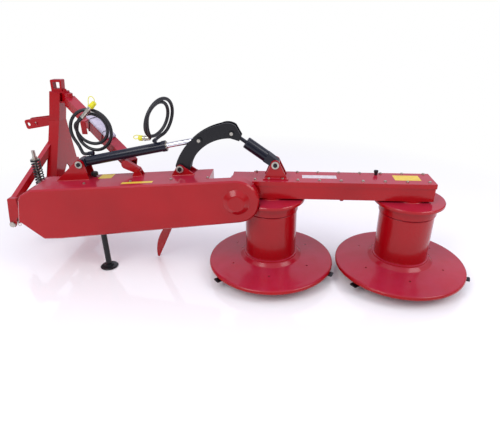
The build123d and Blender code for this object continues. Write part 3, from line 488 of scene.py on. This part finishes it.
lid_places = [1506 + 126 * step for step in range(9)]
UNDER_CLEVIS = 1632
near_places = [x for x in lid_places if x != UNDER_CLEVIS]
BEARING_X, BEARING_Y, BEARING_Z, BEARING_RING = 215, 58, 430, 57
bearing_seats = [
    place(BEARING_X + BEARING_RING * math.cos(a), BEARING_Y, BEARING_Z + BEARING_RING * math.sin(a))
    for a in (0.8, 2.4, 3.9, 5.5)]
bolts("lid_bolts_near", "cutter_bar", [place(x, -60, LID_Z) for x in near_places], UP, LID_BOLT)
bolts("lid_bolts_far", "cutter_bar", [place(x, 78, LID_Z) for x in lid_places], UP, LID_BOLT)
bolts("clevis_bolts", "cutter_bar", [
    place(x, y, PLATE_Z) for x in (1586, 1668) for y in (-56, 56)], UP, PLATE_BOLT)
bolts("guard_bolts", "frame", [guard_top(x, -112) for x in (470, 760, 1010, 1230)], UP, PLATE_BOLT)
bolts("bar_end_bolts", "cutter_bar", [place(2548, y, 600) for y in (-55, 55)], OUTWARDS, PLATE_BOLT)
bolts("input_bolts", "frame", bearing_seats, REARWARDS, BEARING_BOLT)

# Ends of the linkage pins: bright retaining rings on the painted heads, a blackened screw in each.
# The pins by their place in the drawing, x and z, under the body that each rides on.
CYLINDER_FOOT, LIFT_ARM_FOOT, STRUT_FOOT = (427, 722), (1052, 704), (1623, 738)
ROD_EYE, STRUT_HEAD = (1175, 875), (1368, 918)
PIN_FACE, ARM_FACE = 54, 38
for body, pins in (("frame", (CYLINDER_FOOT, LIFT_ARM_FOOT)), ("cutter_bar", (STRUT_FOOT,))):
    mesh = bmesh.new()
    screws = bmesh.new()
    for x, z in pins:
        for side in (-1, 1):
            face = place(x, side * PIN_FACE, z)
            out = Vector((0, side * 0.001, 0))
            rod_between(mesh, face - out * 4, face + out * 2, 0.0225)
            rod_between(screws, face + out * 2, face + out * 8, 0.0135, sides=6)
    piece("pin_rings_" + body, mesh, zinc, body, smooth=30)
    piece("pin_screws_" + body, screws, blackened, body, smooth=30)
mesh = bmesh.new()
for x, z in (STRUT_HEAD, ROD_EYE):
    for side in (-1, 1):
        face = place(x, side * ARM_FACE, z)
        rod_between(mesh, face, face + Vector((0, side * 0.003, 0)), 0.011, sides=6)
piece("lift_arm_screws", mesh, zinc, "lift_arm", smooth=30)

# Gland of the cylinder: a bright threaded ring and a wiper lip round the chromed rod,
# each by its start, its end and its radius, in metres along the cylinder from its foot
cylinder_start = place(CYLINDER_FOOT[0], 0, CYLINDER_FOOT[1])
cylinder_run = (place(ROD_EYE[0], 0, ROD_EYE[1]) - cylinder_start).normalized()
GLAND = ((0.5535, 0.5575, 0.0275), (0.5575, 0.5600, 0.0225))
mesh = bmesh.new()
for near, beyond, outer in GLAND:
    rod_between(mesh, cylinder_start + cylinder_run * near, cylinder_start + cylinder_run * beyond,
                outer, sides=48)
piece("cylinder_gland", mesh, zinc, "cylinder", smooth=30)

# Release spring: nine turns of black enamelled wire, wound round the rod between its two seats
WIRE_R, COIL_R, TURNS, STEPS_A_TURN = 0.0042, 0.0280, 9, 28
SPRING_X, SPRING_Y, SPRING_LOW, SPRING_HIGH = -10, 200, 492, 668
SEAT_R, SEAT_THICK = 0.031, 5
rise = (SPRING_HIGH - SPRING_LOW) / 1000 - 2 * WIRE_R
steps = TURNS * STEPS_A_TURN
centre = place(SPRING_X, SPRING_Y, SPRING_LOW)
wire_end = Matrix.Translation(centre + Vector((COIL_R, 0, WIRE_R))) @ Matrix.Rotation(math.pi / 2, 4, "X")
mesh = bmesh.new()
bmesh.ops.create_circle(mesh, segments=10, radius=WIRE_R, matrix=wire_end)
bmesh.ops.spin(mesh, geom=list(mesh.verts) + list(mesh.edges), cent=centre, axis=(0, 0, 1),
               dvec=(0, 0, rise / steps), angle=TURNS * 2 * math.pi, steps=steps)
bmesh.ops.holes_fill(mesh, edges=[e for e in mesh.edges if e.is_boundary])
bmesh.ops.recalc_face_normals(mesh, faces=mesh.faces)
for foot in (SPRING_LOW, SPRING_HIGH - SEAT_THICK):
    rod_between(mesh, place(SPRING_X, SPRING_Y, foot), place(SPRING_X, SPRING_Y, foot + SEAT_THICK),
                SEAT_R, sides=32)
spring = piece("spring_turns", mesh, black_enamel, "headstock", smooth=40)
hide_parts("release_spring")


# Stickers of vinyl film, left blank: duller than the enamel round them, with edges that stand proud.
# A white plate and a yellow one on the lid, two yellow ones on the arm's top.
def sticker(name, body, corners, finish):
    """A film 0.4 mm thick over four corners, a little proud of its panel."""
    mesh = bmesh.new()
    face = mesh.faces.new([mesh.verts.new(c + Vector((0, 0, 0.0001))) for c in corners])
    grown = bmesh.ops.extrude_face_region(mesh, geom=[face])
    top = [v for v in grown["geom"] if isinstance(v, bmesh.types.BMVert)]
    bmesh.ops.translate(mesh, verts=top, vec=(0, 0, 0.0004))
    bmesh.ops.recalc_face_normals(mesh, faces=mesh.faces)
    piece(name, mesh, finish, body)


def film(name, tone, shade):
    """Printed vinyl that has greyed a little in patches."""
    material, tree, shader = finish_of(name, Coat_Weight=0.3, Coat_Roughness=0.2)
    greyed = ramp(tree, noise(tree, 25, 4), 0.35, 0.7, linear(tone), linear(shade))
    tree.links.new(greyed, shader.inputs["Base Color"])
    tree.links.new(spread(tree, noise(tree, 8, 3), 0.3, 0.5), shader.inputs["Roughness"])
    return material


def lid_top(x, y):
    """A point on the lid of the cutter bar."""
    return place(x, y, LID_Z)


white_film = film("white_vinyl_film", tone="DAD2D6", shade="C9BCC2")
yellow_film = film("yellow_vinyl_film", tone="E6C83A", shade="D9B52E")
# Name, body, film, panel, then left, right, near and far edge
STICKERS = (
    ("lid_plate", "cutter_bar", white_film, lid_top, 1785, 1989, -22, 30),
    ("lid_sticker", "cutter_bar", yellow_film, lid_top, 2325, 2475, -32, 52),
    ("arm_sticker", "frame", yellow_film, guard_top, 525, 610, -35, 42),
    ("guard_sticker", "frame", yellow_film, guard_top, 715, 905, -150, -122))
for name, body, finish, panel, left, right_edge, near, far_edge in STICKERS:
    outline = ((left, near), (right_edge, near), (right_edge, far_edge), (left, far_edge))
    sticker(name, body, [panel(x, y) for x, y in outline], finish)

# Latch knob of moulded plastic on the arm's top: a stem, a flare, a grip and a chamfered head,
# each by its start and end above the foot in millimetres, its radii and its sides
KNOB = (
    (-1, 10, 0.010, None, 24),
    (10, 13, 0.018, 0.022, 24),
    (13, 27, 0.022, None, 32),
    (27, 31, 0.022, 0.017, 32))
knob_foot = guard_top(487, 10)
up = Vector((0, 0, 0.001))
mesh = bmesh.new()
for start, end, radius, end_radius, sides in KNOB:
    rod_between(mesh, knob_foot + up * start, knob_foot + up * end, radius, end_radius, sides)
piece("latch_knob", mesh, plastic, "frame", smooth=30)

# Spring clips of 4 mm wire through the outer ends of the lower link pins:
# x, then outwards along the pin from its outer end, then z
CLIP_R, PIN_REACH = 0.002, 45
CLIP = ((-196, 0, 262), (-196, 0, 240), (-196, 0, 205), (-198, 2, 190), (-214, 4, 182),
        (-224, 5, 196), (-216, 5, 212), (-212, 4, 232), (-216, 4, 252), (-208, 3, 266))
for side, y, hand in (("near", 95, 1), ("far", 965, -1)):
    outer = y + hand * PIN_REACH
    bent_rod("hitch_clip_" + side, [[place(x, outer + out * hand, z) for x, out, z in CLIP]],
             CLIP_R, zinc, "headstock")

# Weld seams: laid by hand with a wire gun, rippled, and painted over, so they break the reflections
seam_enamel, tree, shader = finish_of(
    "painted_weld_seam", Coat_Weight=0.3, Coat_Roughness=0.15, Roughness=0.35)
shader.inputs["Base Color"].default_value = linear("A80C18")
tree.links.new(bump(tree, noise(tree, 4, 2), 0.6, 0.8), shader.inputs["Normal"])
SEAM_R, THIN_SEAM_R = 0.0035, 0.0025
CLEVIS_HALF, STAY_HALF = 46, 24.8
DRUM_CAP_R, DRUM_CAP_FOOT = 90, 530


def seam(name, body, runs, radius=SEAM_R):
    """Beads of weld along straight or short chorded runs."""
    bent_rod(name, runs, radius, seam_enamel, body, kind="POLY", bevel_resolution=2, use_fill_caps=True)


seam("clevis_seams", "frame", [
    [guard_top(left, side * CLEVIS_HALF), guard_top(right_end, side * CLEVIS_HALF)]
    for left, right_end in ((259, 473), (997, 1140)) for side in (-1, 1)])
seam("stay_seams", "frame", [
    [guard_top(743, side * STAY_HALF), guard_top(807, side * STAY_HALF)] for side in (-1, 1)], THIN_SEAM_R)
seam("strut_clevis_seams", "cutter_bar", [
    [place(1560, side * CLEVIS_HALF, PLATE_Z), place(1693, side * CLEVIS_HALF, PLATE_Z)] for side in (-1, 1)])
seam("cap_seams", "cutter_bar", [
    [place(x + DRUM_CAP_R * math.cos(a / 12 * math.pi), DRUM_CAP_R * math.sin(a / 12 * math.pi), DRUM_CAP_FOOT)
     for a in range(25)] for x in (1601, 2431)])

# Sleeve of soft clear plastic with papers in it, on the upper stay: crowned in the middle, flat at its
# edges, and crumpled, so that its shine breaks into small patches
stay_top, stay_low = place(115, 530, 1030), place(775, 0, 677)
down_stay = (stay_low - stay_top).normalized()
beside = down_stay.cross(Vector((0, 0, 1))).normalized()
over = beside.cross(down_stay)
sleeve_middle = stay_top + (stay_low - stay_top) * 0.52 + over * 0.044
frame_of_stay = Matrix((down_stay, beside, over)).transposed().to_4x4()
LONG, WIDE, THICK = 0.26, 0.070, 0.018
CROWN, CRUMPLE = 0.009, 0.0022
mesh = bmesh.new()
bmesh.ops.create_cube(mesh, size=1)
bmesh.ops.scale(mesh, verts=mesh.verts, vec=(LONG, WIDE, THICK))
bmesh.ops.bevel(mesh, geom=list(mesh.edges), offset=0.006, affect="EDGES", segments=3, profile=0.5,
                material=-1)
bmesh.ops.subdivide_edges(mesh, edges=list(mesh.edges), cuts=5, use_grid_fill=True)
for vert in mesh.verts:
    if vert.co.z > 0:
        crown = max(0, 1 - (2 * vert.co.x / LONG) ** 4) * max(0, 1 - (2 * vert.co.y / WIDE) ** 2)
        fold = math.sin(vert.co.x * 95 + vert.co.y * 60) * math.sin(vert.co.x * 38 - vert.co.y * 110)
        vert.co.z += CROWN * crown + CRUMPLE * fold * crown
bmesh.ops.transform(mesh, verts=mesh.verts, matrix=Matrix.Translation(sleeve_middle) @ frame_of_stay)
sleeve_film, tree, shader = finish_of(
    "soft_clear_plastic", Roughness=0.22, Coat_Weight=0.4, Coat_Roughness=0.1)
clouded = ramp(tree, noise(tree, 60, 4), 0.35, 0.65, linear("D2CCDA"), linear("A9A2B8"))
tree.links.new(clouded, shader.inputs["Base Color"])
tree.links.new(bump(tree, noise(tree, 14, 4), 0.5, 2.0), shader.inputs["Normal"])
piece("paper_sleeve", mesh, sleeve_film, "frame", smooth=60)

# Two ties round the sleeve and the stay: the corners of one, across and over the stay, in metres
TIE = ((-0.037, -0.080), (-0.037, -0.006), (-0.030, 0.012), (0, 0.0195),
       (0.030, 0.012), (0.037, -0.006), (0.037, -0.080))
TIE_R = 0.0022
mesh = bmesh.new()
for share in (-0.32, 0.30):
    at = sleeve_middle + down_stay * LONG * share
    corners = [at + beside * b + over * o for b, o in TIE]
    for first, second in zip(corners, corners[1:] + corners[:1]):
        rod_between(mesh, first, second, TIE_R, sides=10)
piece("sleeve_ties", mesh, plastic, "frame", smooth=30)
